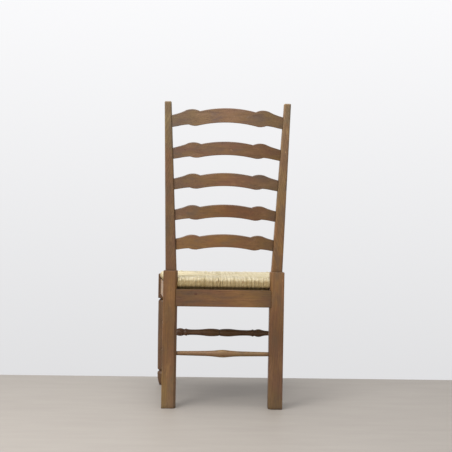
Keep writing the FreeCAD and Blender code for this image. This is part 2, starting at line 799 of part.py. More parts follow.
def assemble():
    parts = []
    for leg in legs():
        parts += [leg, mirrored(leg.Label.replace("left", "right"), leg)]
    parts += [slat(*row) for row in SLATS]
    apron_front = Dims.front_depth + Dims.front_size / 2 - Dims.apron_inset - Dims.apron_thick / 2
    apron_back = Dims.apron_back_inset + Dims.apron_thick / 2
    parts.append(cross_apron("rear_apron", REAR_INNER, apron_back, Dims.rear_apron_low, over_bevel=True))
    parts.append(cross_apron("front_apron", FRONT_INNER, apron_front, Dims.apron_low))
    parts.append(side_apron())
    parts.append(mirrored("side_apron_right", parts[-1]))
    parts.append(cross_rail("seat_rail_rear", REAR_INNER, Dims.rail_back))
    parts.append(cross_rail("seat_rail_front", FRONT_INNER, Dims.rail_front))
    parts.append(side_rail("seat_rail_left"))
    parts.append(mirrored("seat_rail_right", parts[-1]))
    parts.append(rush_seat())
    front = front_stretcher()
    front.Placement.Base = FreeCAD.Vector(0, number(depth(Dims.front_depth)), number(Dims.front_stretcher_z))
    rear = lozenge_stretcher("rear_stretcher", REAR_INNER, Dims.round_tenon, Dims.rear_stretcher_end, 13.3)
    rear.Placement.Base = FreeCAD.Vector(0, number(depth(Dims.leg_depth / 2)), number(Dims.rear_stretcher_z))
    parts += [front, rear]
    for level, z in (("upper", Dims.side_upper_z), ("lower", Dims.side_lower_z)):
        parts.append(side_stretcher(f"side_stretcher_{level}_left", z))
        parts.append(mirrored(f"side_stretcher_{level}_right", parts[-1]))
    return parts


def check(parts):
    """Stops on any failed object, and on any sub-part that isn't one valid solid."""
    for obj in doc.Objects:
        if "Invalid" in obj.State or "Error" in obj.State:
            raise RuntimeError(f"{obj.Name} failed: {obj.State}")
    for obj in parts:
        shape = obj.Shape
        if shape.isNull() or not shape.isValid():
            raise RuntimeError(f"{obj.Label} has no valid shape")
        if len(shape.Solids) != 1:
            raise RuntimeError(f"{obj.Label} has {len(shape.Solids)} solids")


def main():
    parts = assemble()
    doc.recompute()
    check(parts)
    os.makedirs(OUT, exist_ok=True)
    for obj in parts:
        obj.Shape.exportStep(os.path.join(OUT, f"{obj.Label}.step"))
    print(len(parts), "sub-parts written")


main()
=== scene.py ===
"""A ladder-back dining chair with a woven rush seat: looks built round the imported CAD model, in metres."""

import math

import bmesh
import bpy
import numpy as np
from mathutils import Matrix, Vector


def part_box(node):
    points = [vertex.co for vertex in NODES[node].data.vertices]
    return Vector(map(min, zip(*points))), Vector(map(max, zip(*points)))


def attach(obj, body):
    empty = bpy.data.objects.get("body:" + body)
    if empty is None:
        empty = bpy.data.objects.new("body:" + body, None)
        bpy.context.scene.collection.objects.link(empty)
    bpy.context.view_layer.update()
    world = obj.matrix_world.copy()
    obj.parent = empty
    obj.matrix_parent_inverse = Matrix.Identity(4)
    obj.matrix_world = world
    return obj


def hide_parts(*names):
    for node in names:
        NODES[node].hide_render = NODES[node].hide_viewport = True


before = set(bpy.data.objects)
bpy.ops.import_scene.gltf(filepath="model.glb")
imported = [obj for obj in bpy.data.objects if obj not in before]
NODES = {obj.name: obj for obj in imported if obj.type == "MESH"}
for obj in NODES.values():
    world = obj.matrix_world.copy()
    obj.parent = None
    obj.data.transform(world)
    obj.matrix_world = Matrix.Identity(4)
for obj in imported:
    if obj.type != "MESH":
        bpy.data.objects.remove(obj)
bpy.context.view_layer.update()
APRON_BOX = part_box("rear_apron")
LEG_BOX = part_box("rear_leg_left")
BLOCK_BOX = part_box("front_leg_left")
SEAT_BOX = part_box("rush_seat")
RAIL_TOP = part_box("seat_rail_front")[1].z
X, Y, Z = range(3)
rng = np.random.default_rng(11)


# ---------------------------------------------------------------- shader helpers


class Shader:
    """Builds the node tree of a new material or world, one small call per node."""

    def __init__(self, owner):
        owner.use_nodes = True
        self.owner = owner
        self.tree = owner.node_tree
        self.tree.nodes.clear()

    def node(self, kind, inputs=None, **settings):
        made = self.tree.nodes.new(kind)
        for key, value in settings.items():
            setattr(made, key, value)
        for key, value in (inputs or {}).items():
            self.feed(made.inputs[key], value)
        return made

    def feed(self, socket, value):
        """Links a socket to another, or gives it a constant."""
        if isinstance(value, bpy.types.NodeSocket):
            self.tree.links.new(value, socket)
        elif socket.type == "RGBA":
            socket.default_value = (*value, 1)
        else:
            socket.default_value = value

    def math(self, operation, a, b=0.0):
        return self.node("ShaderNodeMath", {0: a, 1: b}, operation=operation).outputs[0]

    def plus(self, a, b):
        return self.math("ADD", a, b)

    def times(self, a, b):
        return self.math("MULTIPLY", a, b)

    def scaled(self, vector, scale):
        return self.node("ShaderNodeVectorMath", {0: vector, 1: scale}, operation="MULTIPLY").outputs[0]

    def offset(self, vector, by):
        return self.node("ShaderNodeVectorMath", {0: vector, 1: by}, operation="ADD").outputs[0]

    def length(self, vector):
        return self.node("ShaderNodeVectorMath", {0: vector}, operation="LENGTH").outputs["Value"]

    def dot(self, a, b):
        return self.node("ShaderNodeVectorMath", {0: a, 1: b}, operation="DOT_PRODUCT").outputs["Value"]

    def part(self, vector, axis):
        return self.node("ShaderNodeSeparateXYZ", {0: vector}).outputs[axis]

    def noise(self, vector, scale, detail, roughness, distortion=0.0):
        inputs = {"Vector": vector, "Scale": scale, "Detail": detail, "Roughness": roughness,
                  "Distortion": distortion}
        return self.node("ShaderNodeTexNoise", inputs).outputs["Fac"]

    def spread(self, value, low, high, to_low=0.0, to_high=1.0, curve="SMOOTHSTEP"):
        """Maps value from low..high to to_low..to_high, and holds it at the ends."""
        inputs = {"Value": value, "From Min": low, "From Max": high, "To Min": to_low, "To Max": to_high}
        return self.node("ShaderNodeMapRange", inputs, interpolation_type=curve).outputs[0]

    def mix(self, factor, a, b, blend="MIX"):
        """Takes colour a towards colour b. A Mix node's colours are its inputs 6 and 7 and its output 2."""
        made = self.node("ShaderNodeMix", data_type="RGBA", blend_type=blend, clamp_result=False)
        self.feed(made.inputs[0], factor)
        self.feed(made.inputs[6], a)
        self.feed(made.inputs[7], b)
        return made.outputs[2]

    def tinted(self, colour, tint):
        """The product of two colours."""
        return self.mix(1.0, colour, tint, "MULTIPLY")

    def ramp(self, value, stops):
        """A colour that follows value through stops of (value, colour)."""
        low, high = stops[0][0], stops[-1][0]
        made = self.node("ShaderNodeValToRGB", {"Fac": self.spread(value, low, high, curve="LINEAR")})
        elements = made.color_ramp.elements
        elements[0].color, elements[-1].color = (*stops[0][1], 1), (*stops[-1][1], 1)
        for at, colour in stops[1:-1]:
            elements.new((at - low) / (high - low)).color = (*colour, 1)
        return made.outputs["Color"]

    def openness(self, distance):
        """1 on an open surface, and less where another surface stands within distance."""
        return self.node("ShaderNodeAmbientOcclusion", {"Distance": distance}, samples=6).outputs["AO"]

    def warm_shade(self, shade, green, blue):
        """A shade as a colour: green and blue are the powers that make dark places warmer."""
        inputs = {0: shade, 1: self.math("POWER", shade, green), 2: self.math("POWER", shade, blue)}
        return self.node("ShaderNodeCombineColor", inputs).outputs[0]

    def rounded_normal(self, radius):
        """The surface's normal as it would be if the edges were rounded to radius."""
        return self.node("ShaderNodeBevel", {"Radius": radius}, samples=6).outputs[0]

    def bump(self, height, strength, distance, normal=None):
        inputs = {"Height": height, "Strength": strength, "Distance": distance}
        if normal is not None:
            inputs["Normal"] = normal
        return self.node("ShaderNodeBump", inputs).outputs[0]

    def finish(self, **inputs):
        """Ends the tree in a Principled shader, whose sockets are named with underscores for spaces."""
        named = {key.replace("_", " "): value for key, value in inputs.items()}
        shader = self.node("ShaderNodeBsdfPrincipled", named)
        self.node("ShaderNodeOutputMaterial", {"Surface": shader.outputs[0]})
        return self.owner


# ---------------------------------------------------------------- wood

GRAIN_STRETCH = 0.07
RING_WIDTH = 0.0042
RING_DRIFT = 0.020
MOST_LEAN = 0.035
LEAN_ABOUT = ("Y_AXIS", "Z_AXIS", "X_AXIS")
EDGE_RADIUS = 0.003
TOP_SHADE_RADIUS = 0.0065
DIRT_AND_SHADE_REACH = 0.014

# Tints that multiply a piece's stain.
REDDER, YELLOWER = (1.06, 0.90, 0.90), (1.17, 1.14, 0.80)
DARK_CLOUD, PALE_CLOUD = (0.80, 0.86, 0.98), (1.40, 1.32, 1.16)
LATE_WOOD, DARK_STREAK, DARK_FIBRE = (0.62, 0.52, 0.46), (0.60, 0.50, 0.45), (0.66, 0.58, 0.54)
PORE, KNOT = (0.33, 0.25, 0.22), (0.45, 0.22, 0.18)
RUBBED, SCUFFED, NICKED = (1.75, 1.72, 1.60), (1.32, 1.42, 1.65), (2.1, 2.0, 1.8)
# The painted shade on the slats' upper edges and upward faces.
TOP_SHADE = (0.50, 0.50, 0.60)


def along_grain(axis, share):
    """Scales that keep only a share of the change along the grain, so that a pattern stretches that way."""
    return tuple(share if i == axis else 1 for i in range(3))


def growth_rings(s, own_place, stretched, axis, seed, knot):
    """How far late wood and a knot darken each point; the second is None where there is no knot."""
    pith = (0.05 + 0.02 * math.sin(seed * 2.1), 0.07 + 0.02 * math.cos(seed * 1.7),
            0.06 + 0.02 * math.sin(seed))
    lean = {"Vector": own_place, "Angle": MOST_LEAN * math.sin(seed * 4.3)}
    leaning = s.node("ShaderNodeVectorRotate", lean, rotation_type=LEAN_ABOUT[axis]).outputs[0]
    radius = s.length(s.scaled(s.offset(leaning, pith), along_grain(axis, 0)))
    drift = s.times(s.noise(stretched, scale=26, detail=3, roughness=0.5), RING_DRIFT)
    knot_shade = None
    if knot:
        centre, size = knot
        gap = s.length(s.scaled(s.offset(own_place, tuple(-c for c in centre)), along_grain(axis, 0.55)))
        drift = s.plus(drift, s.spread(gap, 0, size * 4.5, 0.012, 0))
        knot_shade = s.spread(gap, size * 0.65, size * 1.15, 1, 0)
    cycle = s.math("FRACT", s.math("DIVIDE", s.plus(radius, drift), RING_WIDTH))
    return s.times(s.spread(cycle, 0.25, 0.85), s.spread(cycle, 1.0, 0.88)), knot_shade


def wood(name, axis, seed, stain_and_light, knot=None, shade_on_top=False):
    """Stained and waxed beech, with growth rings about a pith outside the piece.

    Its edges are rubbed, and its corners are darkened by dirt and painted shade. The stain argument is the
    wood's mean colour, or stops of (place along the grain, colour), with painted light and shade fitted in. A
    knot is (centre, radius). The last argument paints shade, darker along the upper edges and on faces that
    look up.
    """
    s = Shader(bpy.data.materials.new(name))
    own_place = s.node("ShaderNodeTexCoord").outputs["Object"]
    place = s.offset(own_place, (seed * 0.37, seed * 0.53, seed * 0.29))

    def drawn_out(share, by=None):
        """The pattern's place, moved and stretched along the grain."""
        return s.scaled(place if by is None else s.offset(place, by), along_grain(axis, share))

    stretched = drawn_out(GRAIN_STRETCH)
    late, knot_shade = growth_rings(s, own_place, stretched, axis, seed, knot)
    fibre = s.noise(stretched, scale=1100, detail=3, roughness=0.65)
    streak = s.noise(stretched, scale=170, detail=3, roughness=0.6)
    pores = s.spread(s.noise(stretched, scale=640, detail=2, roughness=0.5), 0.60, 0.72)
    cloud = s.noise(drawn_out(0.28), scale=34, detail=3, roughness=0.6, distortion=0.5)
    hue = s.noise(drawn_out(0.3, (3.1, 1.7, 5.3)), scale=19, detail=3, roughness=0.6, distortion=0.3)
    colour = s.mix(s.spread(hue, 0.38, 0.62), REDDER, YELLOWER)
    colour = s.mix(s.spread(cloud, 0.46, 0.72), colour, DARK_CLOUD)
    colour = s.mix(s.spread(cloud, 0.46, 0.32, 0, 0.85), colour, PALE_CLOUD)
    colour = s.mix(s.times(late, 0.42), colour, LATE_WOOD)
    colour = s.mix(s.spread(streak, 0.50, 0.74, 0, 0.60), colour, DARK_STREAK)
    colour = s.mix(s.spread(fibre, 0.35, 0.70, 0, 0.30), colour, DARK_FIBRE)
    colour = s.mix(s.times(pores, 0.60), colour, PORE)
    if knot_shade is not None:
        colour = s.mix(s.times(knot_shade, 0.85), colour, KNOT)

    # Wear: edges are where the rounded normal leaves the true one.
    true_normal = s.node("ShaderNodeNewGeometry").outputs["Normal"]
    rounded = s.rounded_normal(EDGE_RADIUS)
    flatness = s.dot(rounded, true_normal)
    ragged = s.spread(s.noise(place, scale=46, detail=3, roughness=0.7), 0.40, 0.64, 0.05, 1)
    rub = s.times(s.spread(flatness, 0.995, 0.88), ragged)
    scuff = s.noise(drawn_out(0.45, (7.3, 4.1, 2.9)), scale=60, detail=4, roughness=0.7, distortion=0.6)
    nicks = s.spread(s.noise(drawn_out(0.4), scale=95, detail=2, roughness=0.5), 0.735, 0.775)
    colour = s.mix(s.times(rub, 0.60), colour, RUBBED)
    colour = s.mix(s.spread(scuff, 0.60, 0.74, 0, 0.5), colour, SCUFFED)
    colour = s.mix(s.times(nicks, 0.45), colour, NICKED)
    # Painted shade: darker along the upper edges and over faces that look up, on the slats.
    if shade_on_top:
        up = s.part(true_normal, Z)
        tilts_up = s.math("SUBTRACT", s.part(s.rounded_normal(TOP_SHADE_RADIUS), Z), up)
        band = s.math("MAXIMUM", s.spread(tilts_up, 0.03, 0.36), s.spread(up, 0.45, 0.85))
        colour = s.mix(s.times(band, 0.62), colour, TOP_SHADE)

    # The stain, with painted light and shade fitted into its colours and stops, tints the whole colour.
    if isinstance(stain_and_light, list):
        stain_and_light = s.ramp(s.part(own_place, axis), stain_and_light)
    colour = s.tinted(colour, stain_and_light)
    # Dirt and painted shade: darker where other surfaces stand close, in the corners and joints.
    colour = s.tinted(colour, s.warm_shade(s.spread(s.openness(DIRT_AND_SHADE_REACH), 0.40, 0.95, 0.40, 1), 1.1, 1.25))
    dullness = s.spread(s.noise(place, scale=19, detail=4, roughness=0.7), 0.35, 0.70, 0.40, 0.60)
    rough = s.plus(dullness, s.times(rub, 0.10))
    height = s.plus(s.plus(s.times(fibre, 0.45), s.times(pores, -0.8)), s.times(nicks, -1.2))
    normal = s.bump(height, 0.40, 0.0005, rounded)
    waves = s.noise(drawn_out(0.4), scale=48, detail=2, roughness=0.5)
    normal = s.bump(waves, 0.30, 0.0018, normal)
    return s.finish(Base_Color=colour, Roughness=rough, Normal=normal, Coat_Weight=0.12, Coat_Roughness=0.36,
                    Specular_IOR_Level=0.32)


# Each kind of piece's stain with painted light and shade fitted in: one colour, or stops of (place along the
# grain, colour).
STAINS_WITH_PAINTED_LIGHT = {
    # Painted light and shade: the rear legs darker low down under the seat, lighter and greyer up the posts,
    # and the two legs lit unevenly.
    "rear_leg_left": [
        (0.0, (0.165, 0.108, 0.055)), (0.08, (0.175, 0.103, 0.043)), (0.25, (0.127, 0.062, 0.024)),
        (0.42, (0.155, 0.081, 0.027)), (0.482, (0.156, 0.081, 0.027)), (0.485, (0.140, 0.079, 0.038)),
        (0.70, (0.136, 0.083, 0.041)), (0.88, (0.162, 0.098, 0.046)), (1.0, (0.162, 0.118, 0.066)),
    ],
    "rear_leg_right": [
        (0.0, (0.115, 0.072, 0.038)), (0.08, (0.133, 0.073, 0.036)), (0.27, (0.116, 0.058, 0.022)),
        (0.42, (0.176, 0.092, 0.036)), (0.50, (0.177, 0.096, 0.042)), (0.62, (0.205, 0.114, 0.050)),
        (0.80, (0.176, 0.111, 0.058)), (1.0, (0.212, 0.144, 0.072)),
    ],
    "front_leg": (0.109, 0.060, 0.025),
    # Painted highlight and shade: each slat lighter and redder in the middle, which faces the light, and
    # darker at the ends.
    "back_slat_1": [
        (-0.16, (0.160, 0.103, 0.056)), (0.0, (0.201, 0.119, 0.084)),
        (0.16, (0.137, 0.090, 0.052)),
    ],
    "back_slat_2": [
        (-0.16, (0.144, 0.081, 0.036)), (0.0, (0.171, 0.097, 0.058)),
        (0.16, (0.127, 0.074, 0.042)),
    ],
    "back_slat_3": [
        (-0.16, (0.141, 0.088, 0.050)), (0.0, (0.180, 0.098, 0.051)),
        (0.16, (0.121, 0.073, 0.040)),
    ],
    "back_slat_4": [
        (-0.16, (0.144, 0.081, 0.041)), (0.0, (0.154, 0.075, 0.028)),
        (0.16, (0.137, 0.084, 0.044)),
    ],
    "back_slat_5": [
        (-0.16, (0.145, 0.083, 0.039)), (0.0, (0.189, 0.099, 0.039)),
        (0.16, (0.162, 0.087, 0.037)),
    ],
    "rear_apron": [
        (-0.16, (0.106, 0.058, 0.025)), (-0.09, (0.159, 0.082, 0.031)), (0.0, (0.150, 0.074, 0.031)),
        (0.16, (0.104, 0.054, 0.024)),
    ],
    "front_apron": (0.185, 0.098, 0.048),
    # Painted light: the side aprons much lighter than the other wood, where light grazes their outer faces.
    "side_apron": (0.350, 0.228, 0.128),
    # Painted shade darkens the front stretcher; painted light lightens the rear stretcher.
    "front_stretcher": (0.114, 0.059, 0.026),
    "rear_stretcher": (0.190, 0.118, 0.053),
    "side_stretcher": (0.185, 0.102, 0.050),
    "seat_rail": (0.36, 0.26, 0.15),
}

# The one knot, on the back of the rear apron.
KNOT_FROM_END, KNOT_FROM_TOP, KNOT_RADIUS = 0.0825, 0.0160, 0.0032

SLAT_COUNT = 5
SLAT_EASE = 0.0016


def grain_axis(node):
    """The axis that a node's grain runs along."""
    if node.startswith("side") or node in ("seat_rail_left", "seat_rail_right"):
        return Y
    return Z if "leg" in node else X


def dress_wood():
    """Gives each wooden node its own material, so that no two pieces share a grain."""
    high = APRON_BOX[1]
    apron_knot = ((high.x - KNOT_FROM_END, high.y, high.z - KNOT_FROM_TOP), KNOT_RADIUS)
    for seed, node in enumerate(sorted(n for n in NODES if n != "rush_seat"), start=1):
        stain_and_light = next(colour for name, colour in STAINS_WITH_PAINTED_LIGHT.items() if node.startswith(name))
        knot = apron_knot if node == "rear_apron" else None
        material = wood(f"wood_{node}", grain_axis(node), seed, stain_and_light, knot, shade_on_top="slat" in node)
        for slot in NODES[node].material_slots:
            slot.material = material


def soften_slats():
    """Eases the slats' sharp edges, as a spokeshave leaves them."""
    for i in range(1, SLAT_COUNT + 1):
        slat = NODES[f"back_slat_{i}"]
        weld = slat.modifiers.new("weld", "WELD")
        weld.merge_threshold = 1e-5
        bevel = slat.modifiers.new("eased_edges", "BEVEL")
        bevel.width = SLAT_EASE
        bevel.segments = 3
        bevel.limit_method = "ANGLE"
        bevel.angle_limit = math.radians(40)
        evened = slat.modifiers.new("evened", "WEIGHTED_NORMAL")
        evened.mode = "FACE_AREA"
        evened.weight = 90


# ---------------------------------------------------------------- rush seat

# The seat's plan: the inner corners of the legs, from which the mitres run, and the four edges.
LEG_WIDTH = 0.050
SIDE_INSET = 0.0065
REAR_CORNER = Vector((LEG_BOX[0].x, LEG_BOX[0].y))
FRONT_CORNER = Vector((BLOCK_BOX[0].x, BLOCK_BOX[1].y))
REAR_EDGE, FRONT_EDGE = SEAT_BOX[1].y, SEAT_BOX[0].y
SIDE_REAR_X = LEG_BOX[0].x + LEG_WIDTH - SIDE_INSET
SIDE_FRONT_X = SEAT_BOX[1].x
CENTRE_Y = (REAR_CORNER.y - REAR_CORNER.x + FRONT_CORNER.y + FRONT_CORNER.x) / 2
LEG_GAP = 0.0004

# A cord's side view: how it rounds the rail, dips at the mitre, crowns above and bellies below.
CORD_RADIUS = 0.0025
CORNER_RADIUS = 0.0100
CORNER_STEPS = 9
RUN_STEP = 0.003
MITRE_DIP, DIP_REACH = 0.0050, 0.012
MITRE_LAP = 0.0015
CROWN, CROWN_REACH = 0.0022, 0.1
BELLY, BELLY_START, BELLY_END = 0.0130, 0.014, 0.03
REAR_SAG = 0.0055
UNDERSIDE_LIFT = 0.0005

# A cord's own form: its twist, its evenness, and how it strays from its neighbours. PRESSED is its radius as
# a share of its width, which is over a half so that neighbours press together.
CORD_SPACING = 0.0046
CORD_WIDTHS = (0.82, 1.18)
PRESSED = 0.56
PLY_TURN, PLY_DEPTH = 0.017, 0.12
SWELL, SWELL_WAVE = 0.06, 0.043
WOBBLE, WOBBLE_WAVES = 0.00028, (0.031, 0.057, 0.11)
LIFT_SPREAD, PUSH_SPREAD = 0.0005, 0.0004
ANY_ANGLE = 6.3
RING_STEP = 0.0023
AROUND = 8
FIBRE_SCALE = 20

# The rush's colours, the tints of its leaves, and the painted shade that darkens its edges below the top.
GREEN_RUSH, GOLD_RUSH = (0.36, 0.31, 0.155), (0.51, 0.43, 0.26)
STRAW, BROWN_RUSH = (0.65, 0.585, 0.415), (0.43, 0.31, 0.17)
DARK_LEAF, PALE_LEAF = (0.31, 0.235, 0.12), (0.73, 0.675, 0.50)
LOW_SHADE_TINT = (0.675, 0.578, 0.425)
FULL_SHADE_DEPTH, SHADE_START_DEPTH, SHADE_LINE_STRAY = 0.0150, 0.0005, 0.0022

# The packing between the layers.
PACKING_STEPS = 28
PACKING_INSET, PACKING_REAR_INSET, PACKING_LEG_GAP = 0.030, 0.032, 0.004
PACKING_PUFF, PACKING_RIM = 0.0055, 0.0006


def mitre_y(x, corner):
    """Where the cord at x, from the rail whose corner is given, meets the next field."""
    return corner.y + math.copysign(max(corner.x - abs(x), 0), CENTRE_Y - corner.y)


def mitre_x(y):
    """The same for a cord from the left rail, at y."""
    corner = REAR_CORNER if y > CENTRE_Y else FRONT_CORNER
    return max(corner.x - abs(corner.y - y), 0)


def side_edge(y):
    """x of the seat's left edge at y."""
    share = (REAR_CORNER.y - y) / (REAR_CORNER.y - FRONT_CORNER.y)
    return SIDE_REAR_X + (SIDE_FRONT_X - SIDE_REAR_X) * share


def ease(x):
    """0 below 0 and 1 above 1, with a smooth rise between."""
    x = np.clip(x, 0, 1)
    return x * x * (3 - 2 * x)


def cord_line(length, lift, push, underside):
    """A cord's side view: from the mitre over the rail and back beneath it, as even (inward, height) points.

    Also gives each point's distance along the cord.
    """
    top, low = SEAT_BOX[1].z - CORD_RADIUS + lift, underside + CORD_RADIUS
    start = CORD_RADIUS + push
    corner = min(CORNER_RADIUS, (top - low) / 2)
    run = np.linspace(length + MITRE_LAP, start + corner, max(6, int(length / RUN_STEP)))
    dip = MITRE_DIP * (1 - ease((length - run) / DIP_REACH))
    crown = CROWN * min(1, length / CROWN_REACH) * np.sin(np.pi * np.clip((run - start) / length, 0, 1))
    belly = BELLY * ease((run - start - corner) / BELLY_START) * ease((length - run) / BELLY_END)
    over = top + crown - dip
    under = low + dip - belly
    turn = np.linspace(0, np.pi / 2, CORNER_STEPS)[1:]
    round_in = start + corner * (1 - np.sin(turn))
    drop = corner * (1 - np.cos(turn))
    inward = np.concatenate([run, round_in, round_in[::-1], run[::-1]])
    height = np.concatenate([over, top - drop, low + drop[::-1], under[::-1]])
    points = np.stack([inward, height], 1)
    distance = np.concatenate([[0], np.cumsum(np.linalg.norm(np.diff(points, axis=0), axis=1))])
    even = np.linspace(0, distance[-1], int(distance[-1] / RING_STEP) + 1)
    return np.stack([np.interp(even, distance, points[:, i]) for i in (0, 1)], 1), even


def cord_rings(edge, inward, across, length, width, underside, inset):
    """The rings of one twisted two-ply cord, with the values that its material reads.

    It runs inward from the edge above, and back below at the height of the underside. inset puts a doubled
    cord inside the outer one.
    """
    lift, push = rng.normal(0, LIFT_SPREAD) - inset, abs(rng.normal(0, PUSH_SPREAD)) + inset
    line, along = cord_line(length, lift, push, underside)
    wobble = sum(rng.normal(0, WOBBLE) * np.sin(along * 2 * np.pi / wave + rng.uniform(0, ANY_ANGLE))
                 for wave in WOBBLE_WAVES)
    centre = np.outer(line[:, 0], inward) + np.outer(wobble, across) + edge
    centre[:, 2] = line[:, 1]
    slope = np.gradient(line, axis=0)
    slope /= np.linalg.norm(slope, axis=1)[:, None]
    outward = np.outer(slope[:, 1], inward)
    outward[:, 2] = -slope[:, 0]
    twist = 2 * np.pi * along / PLY_TURN + rng.uniform(0, ANY_ANGLE)
    angle = np.linspace(0, 2 * np.pi, AROUND, endpoint=False)
    turned = angle[None, :] - twist[:, None]
    swell = 1 + SWELL * np.sin(along * 2 * np.pi / SWELL_WAVE + rng.uniform(0, ANY_ANGLE))
    radius = width * PRESSED * swell[:, None] * (1 + PLY_DEPTH * np.cos(2 * turned))
    rings = (centre[:, None, :] + (radius * np.cos(angle))[..., None] * outward[:, None, :]
             + (radius * np.sin(angle))[..., None] * across[None, None, :])
    distance = np.broadcast_to(along[:, None] * FIBRE_SCALE, turned.shape)
    fibre = np.stack([np.cos(turned), np.sin(turned), distance], 2)
    return rings, fibre, np.full(turned.shape, rng.beta(2, 2.2))


def new_piece(name, points, faces):
    """A smooth closed mesh object with its faces turned outwards."""
    mesh = bpy.data.meshes.new(name)
    mesh.from_pydata(points, [], faces)
    mesh.shade_smooth()
    mesh.validate()
    work = bmesh.new()
    work.from_mesh(mesh)
    bmesh.ops.recalc_face_normals(work, faces=work.faces)
    work.to_mesh(mesh)
    work.free()
    piece = bpy.data.objects.new(name, mesh)
    bpy.context.scene.collection.objects.link(piece)
    return piece


def woven_field(name, span, edge_at, inward, across, length_at, underside):
    """One field of the seat: cords side by side along the span of their rail, doubled at the legs."""
    low, high = span
    count = round((high - low) / CORD_SPACING)
    widths = rng.uniform(*CORD_WIDTHS, count)
    widths *= (high - low) / widths.sum()
    places = low + np.cumsum(widths) - widths / 2
    cords = [(at, width, underside, 0) for at, width in zip(places, widths)]
    cords += [(places[end], widths[end], RAIL_TOP, CORD_SPACING) for end in (0, -1)]
    points, faces, fibres, tints, first = [], [], [], [], 0
    for at, width, beneath, inset in cords:
        rings, fibre, tint = cord_rings(edge_at(at), inward, across, length_at(at), width, beneath, inset)
        index = first + np.arange(len(rings) * AROUND).reshape(-1, AROUND)
        after = np.roll(index, -1, axis=1)
        faces += np.stack([index[:-1], index[1:], after[1:], after[:-1]], 2).reshape(-1, 4).tolist()
        faces += [index[0].tolist(), index[-1][::-1].tolist()]
        points.append(rings.reshape(-1, 3))
        fibres.append(fibre.reshape(-1, 3))
        tints.append(tint.ravel())
        first += index.size
    piece = new_piece(name, np.concatenate(points).tolist(), faces)
    fibre_values = piece.data.attributes.new("fibre", "FLOAT_VECTOR", "POINT").data
    fibre_values.foreach_set("vector", np.concatenate(fibres).ravel())
    tint_values = piece.data.attributes.new("tint", "FLOAT", "POINT").data
    tint_values.foreach_set("value", np.concatenate(tints))
    return piece


def rush_material():
    """Dry twisted rush: two plies of straw, gold and green leaves, with fine fibres along each."""
    s = Shader(bpy.data.materials.new("twisted_rush"))
    fibre = s.node("ShaderNodeAttribute", attribute_name="fibre").outputs["Vector"]
    tint = s.node("ShaderNodeAttribute", attribute_name="tint").outputs["Fac"]
    place = s.node("ShaderNodeTexCoord").outputs["Object"]
    round_ply = s.part(fibre, X)
    patches = s.offset(s.scaled(fibre, (0.5, 0.5, 0.4)), s.scaled(place, (9, 9, 9)))
    blotch = s.noise(patches, scale=1.6, detail=2, roughness=0.5)
    varied = s.plus(s.times(tint, 0.44), s.times(blotch, 0.32))
    varied = s.plus(varied, s.spread(round_ply, -0.15, 0.15, -0.07, 0.07))
    streak = s.noise(fibre, scale=5, detail=3, roughness=0.65)
    colour = s.mix(s.spread(varied, 0.06, 0.25), GREEN_RUSH, GOLD_RUSH)
    colour = s.mix(s.spread(varied, 0.25, 0.48), colour, STRAW)
    colour = s.mix(s.spread(varied, 0.56, 0.70), colour, BROWN_RUSH)
    colour = s.mix(s.spread(streak, 0.50, 0.72, 0, 0.50), colour, DARK_LEAF)
    colour = s.mix(s.spread(streak, 0.48, 0.30, 0, 0.35), colour, PALE_LEAF)

    # Painted shade: darker between the plies, between the cords and in the gaps under the seat.
    ply_shade = s.spread(s.math("ABSOLUTE", round_ply), 0.0, 0.38, 0.52, 1)
    cord_shade = s.spread(s.openness(0.006), 0.15, 0.75, 0.42, 1)
    underside_shade = s.spread(s.openness(0.05), 0.15, 0.60, 0.45, 1)
    colour = s.tinted(colour, s.warm_shade(s.times(s.times(cord_shade, underside_shade), ply_shade), 1.15, 1.5))

    # Painted shade: the seat's edges darker and browner below the top, where the roll turns under.
    height = s.part(s.node("ShaderNodeNewGeometry").outputs["Position"], Z)
    stray = s.noise(place, scale=90, detail=2, roughness=0.6)
    uneven = s.plus(height, s.spread(stray, 0.3, 0.7, -SHADE_LINE_STRAY, SHADE_LINE_STRAY))
    unshaded = s.spread(uneven, SEAT_BOX[1].z - FULL_SHADE_DEPTH, SEAT_BOX[1].z - SHADE_START_DEPTH)
    colour = s.tinted(colour, s.mix(unshaded, LOW_SHADE_TINT, (1, 1, 1)))
    ridges = s.bump(s.noise(fibre, scale=7, detail=2, roughness=0.6), 0.5, 0.0005)
    return s.finish(Base_Color=colour, Roughness=s.spread(streak, 0.3, 0.7, 0.42, 0.66), Normal=ridges,
                    Specular_IOR_Level=0.4)


def packing_material():
    """Dark loose strands."""
    s = Shader(bpy.data.materials.new("dark_stuffing"))
    place = s.node("ShaderNodeTexCoord").outputs["Object"]
    strands = s.noise(s.scaled(place, (1, 0.12, 1)), scale=700, detail=3, roughness=0.6)
    colour = s.mix(strands, (0.20, 0.14, 0.07), (0.40, 0.30, 0.16))
    return s.finish(Base_Color=colour, Roughness=0.9, Normal=s.bump(strands, 0.6, 0.001))


def packing_half_width(y):
    """How far the packing reaches to each side at y: short of the side rails, and of the legs at the ends."""
    if y < FRONT_CORNER.y:
        leg_side = FRONT_CORNER.x - PACKING_LEG_GAP
    elif y > REAR_CORNER.y:
        leg_side = REAR_CORNER.x - PACKING_LEG_GAP
    else:
        leg_side = math.inf
    return min(side_edge(y) - PACKING_INSET, leg_side)


